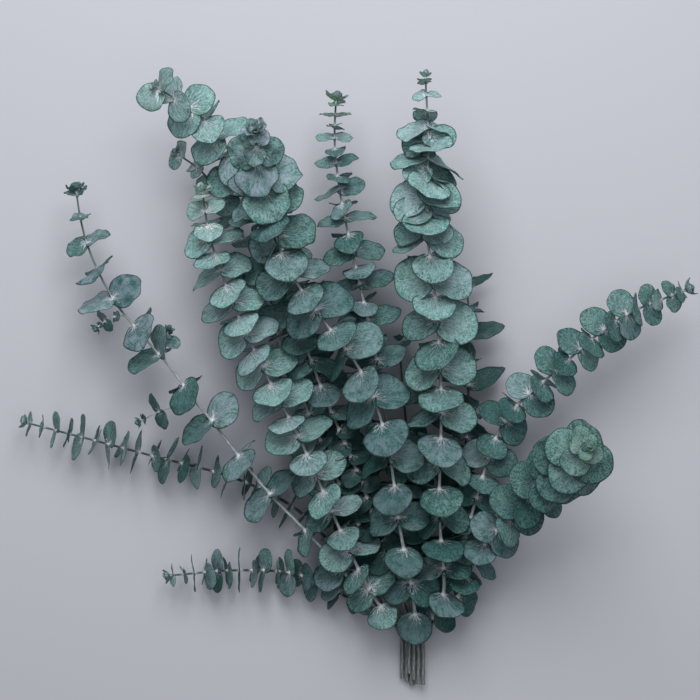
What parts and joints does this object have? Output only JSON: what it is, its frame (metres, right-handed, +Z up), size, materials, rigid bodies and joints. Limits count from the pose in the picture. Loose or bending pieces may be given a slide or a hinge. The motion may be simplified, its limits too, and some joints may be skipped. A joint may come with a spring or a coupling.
{
  "type": "bunch of dried eucalyptus",
  "caption": "Loose bunch of dried eucalyptus laid down: long leafy stems with round paired leaves fan out from a tight sheaf of cut ends.",
  "frame": {"origin": "middle of the bunch's outline seen from above, on the surface that it lies on", "axes": "+X across the fan of stems, +Y from the cut ends toward the tips, +Z up from the surface"},
  "size_m": [0.5331, 0.4911, 0.1512],
  "materials": {
    "eucalyptus_leaf": "dried eucalyptus leaf and stalk, matt teal green with a pale waxy bloom"
  },
  "bodies": {
    "root": {"stem_front_middle": "eucalyptus_leaf", "stem_tall": "eucalyptus_leaf", "stem_left_column": "eucalyptus_leaf", "stem_right_rosette": "eucalyptus_leaf", "stem_far_left": "eucalyptus_leaf", "stem_right": "eucalyptus_leaf", "stem_top_left": "eucalyptus_leaf", "stem_top_middle": "eucalyptus_leaf", "stem_slender_left": "eucalyptus_leaf", "stem_low_left": "eucalyptus_leaf", "stem_lowest_left": "eucalyptus_leaf", "stem_inner_left": "eucalyptus_leaf", "stem_inner_middle": "eucalyptus_leaf", "stem_inner_right": "eucalyptus_leaf"}
  },
  "joints": []
}
